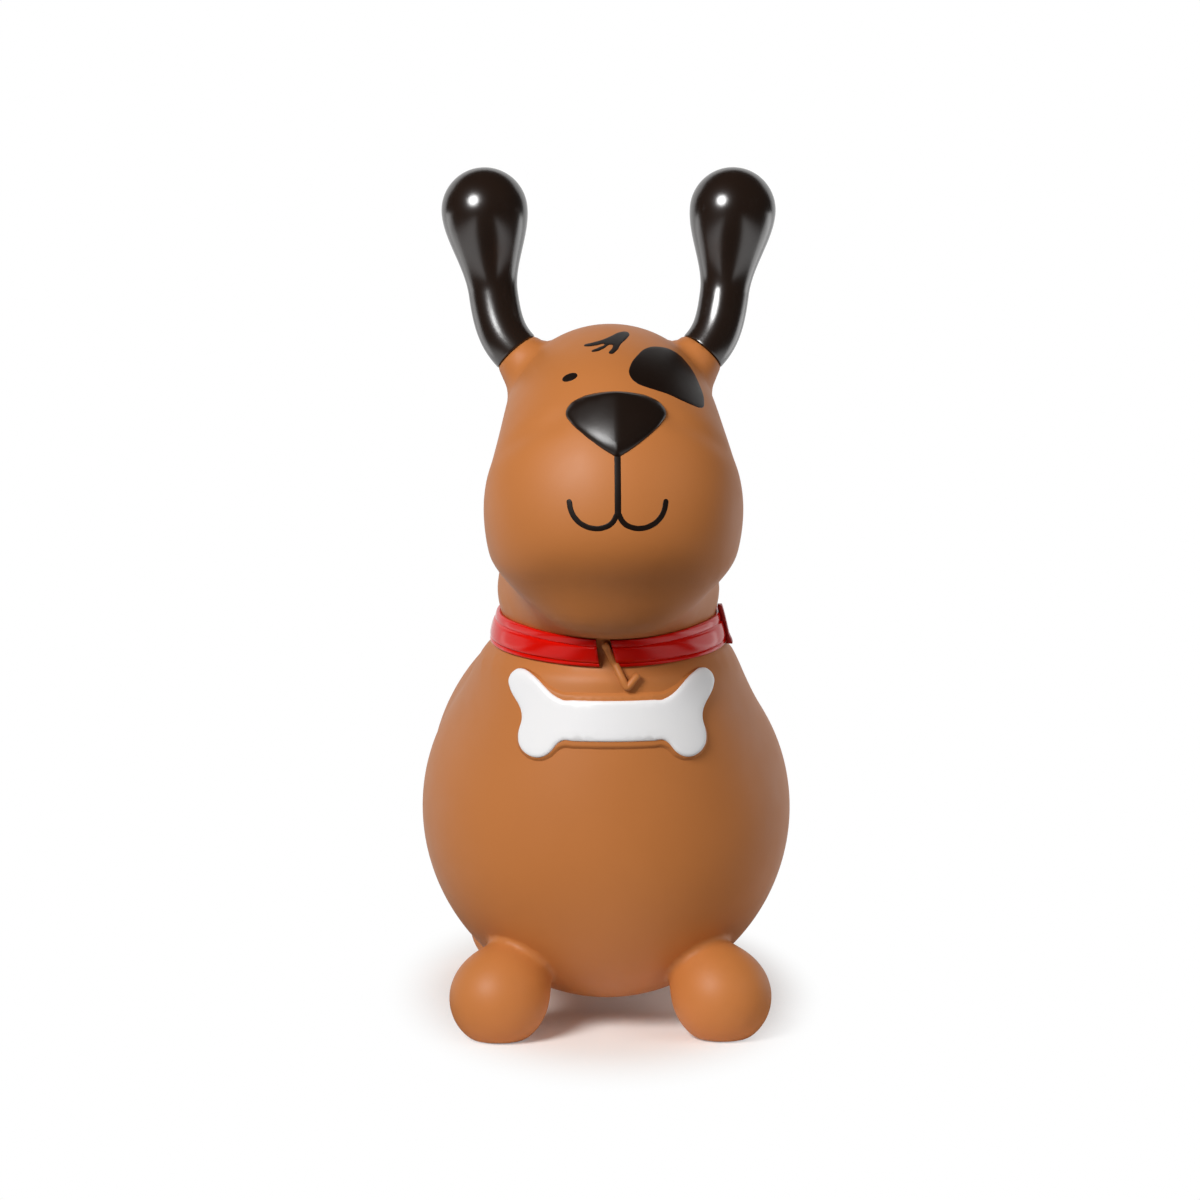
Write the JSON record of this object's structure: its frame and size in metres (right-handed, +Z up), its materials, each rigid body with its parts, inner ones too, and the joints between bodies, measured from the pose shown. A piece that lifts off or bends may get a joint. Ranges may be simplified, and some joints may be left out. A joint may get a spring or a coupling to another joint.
{
  "type": "animal hopper",
  "caption": "Inflatable bouncing toy in the shape of a dog, with ear handles, a collar with a bone tag and an air valve at the back.",
  "frame": {"origin": "middle of the bounding box, on the floor under the soles", "axes": "+Z up; the dog faces -Y, and its left side is at +X"},
  "size_m": [0.2336, 0.4441, 0.5383],
  "materials": {
    "skin": "satin",
    "bone": "gloss",
    "collar": "gloss",
    "keeper": "gloss",
    "ears": "gloss",
    "nose": "gloss",
    "ring": "satin",
    "plug": "satin",
    "valve": "satin"
  },
  "bodies": {
    "hopper": {"body_skin": "skin", "bone_tag": "bone", "collar_band": "collar", "collar_keeper": "keeper", "ear_handle_left": "ears", "ear_handle_right": "ears", "nose_pad": "nose", "tag_ring": "ring", "valve_seat": "valve"},
    "plug": {"valve_plug": "plug"}
  },
  "joints": [
    {"name": "plug_pull", "type": "slide", "parent": "hopper", "child": "plug", "axis": [0, 1, 0], "range_m": [0, 0.03]}
  ]
}
